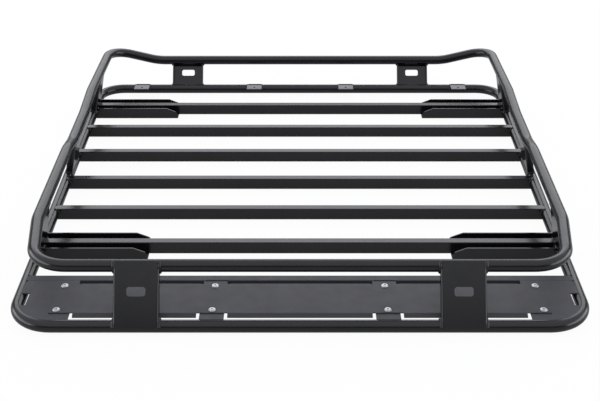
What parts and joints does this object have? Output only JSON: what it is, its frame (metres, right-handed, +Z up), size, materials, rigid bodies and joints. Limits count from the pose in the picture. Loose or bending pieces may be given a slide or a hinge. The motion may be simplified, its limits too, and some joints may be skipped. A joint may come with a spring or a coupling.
{
  "type": "roof basket",
  "caption": "Open roof basket of welded round tube with crossbars, upright brackets, a front deflector plate and channels for roof feet.",
  "frame": {"origin": "middle of the basket's footprint, at the level of the mounting channels' undersides", "axes": "+Y from the deflector plate to the rear, +X to the right seen from the front end, +Z up"},
  "size_m": [1.3116, 1.4376, 0.1498],
  "materials": {
    "powder_coat": "satin black powder coat",
    "zinc_screw": "bright zinc plate"
  },
  "bodies": {
    "root": {"accessory_tab_inner_left": "powder_coat", "accessory_tab_inner_right": "powder_coat", "accessory_tab_outer_left": "powder_coat", "accessory_tab_outer_right": "powder_coat", "corner_gusset_left": "powder_coat", "corner_gusset_right": "powder_coat", "crossbar_1": "powder_coat", "crossbar_2": "powder_coat", "crossbar_3": "powder_coat", "crossbar_4": "powder_coat", "crossbar_5": "powder_coat", "crossbar_6": "powder_coat", "crossbar_7": "powder_coat", "deflector_plate": "powder_coat", "front_bracket_left": "powder_coat", "front_bracket_right": "powder_coat", "lower_front_tube": "powder_coat", "lower_left_tube": "powder_coat", "lower_rear_tube": "powder_coat", "lower_right_tube": "powder_coat", "mount_channel_front_left": "powder_coat", "mount_channel_front_right": "powder_coat", "mount_channel_rear_left": "powder_coat", "mount_channel_rear_right": "powder_coat", "plate_tab_front_left": "powder_coat", "plate_tab_front_right": "powder_coat", "plate_tab_rear_left": "powder_coat", "plate_tab_rear_right": "powder_coat", "rear_bracket_left": "powder_coat", "rear_bracket_right": "powder_coat", "side_bracket_left_front": "powder_coat", "side_bracket_left_middle": "powder_coat", "side_bracket_left_rear": "powder_coat", "side_bracket_right_front": "powder_coat", "side_bracket_right_middle": "powder_coat", "side_bracket_right_rear": "powder_coat", "upper_front_tube": "powder_coat", "upper_left_rail": "powder_coat", "upper_rear_tube": "powder_coat", "upper_right_rail": "powder_coat"}
  },
  "joints": []
}
